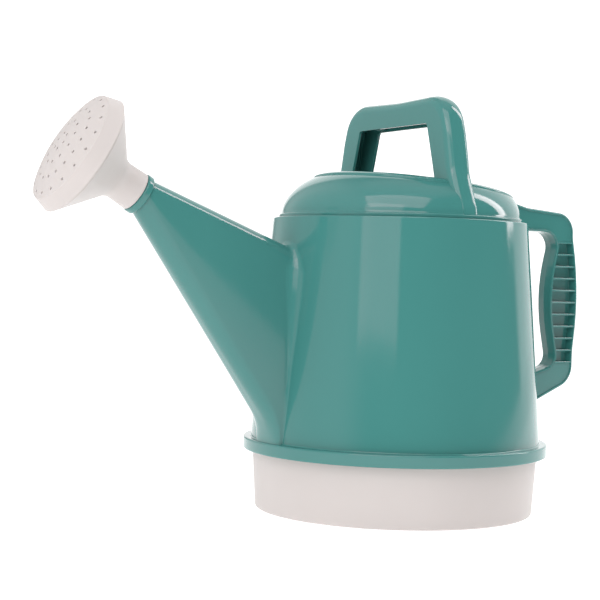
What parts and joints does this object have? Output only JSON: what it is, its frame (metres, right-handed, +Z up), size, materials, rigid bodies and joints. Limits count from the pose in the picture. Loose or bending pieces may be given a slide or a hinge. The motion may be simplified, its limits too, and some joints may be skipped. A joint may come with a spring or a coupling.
{
  "type": "watering can",
  "caption": "Round plastic watering can with a top handle, a ribbed rear handle and a long spout that carries a domed rose.",
  "frame": {"origin": "centre of the base pan's flat underside", "axes": "+Z up; +X from the can's axis towards the spout and rose; the can is symmetric about the plane Y = 0"},
  "size_m": [0.5066, 0.254, 0.3422],
  "materials": {
    "teal_plastic": "glossy moulded polypropylene",
    "white_plastic": "satin moulded polypropylene"
  },
  "bodies": {
    "can": {"base_pan": "white_plastic", "body_shell": "teal_plastic", "top_cover": "teal_plastic", "top_handle": "teal_plastic", "rear_handle": "teal_plastic", "spout": "teal_plastic", "spout_nozzle": "teal_plastic"},
    "rose": {"rose_neck": "white_plastic", "rose_flare": "white_plastic"},
    "rose_face": {"rose_cap": "white_plastic"}
  },
  "joints": [
    {"name": "rose_pull", "type": "slide", "parent": "can", "child": "rose", "axis": [0.8695, 0, 0.4939], "range_m": [0, 0.05]},
    {"name": "rose_cap_turn", "type": "hinge", "parent": "rose", "child": "rose_face", "pos_m": [0.2422, 0, 0.254], "axis": [0.8695, 0, 0.4939], "continuous": true}
  ]
}
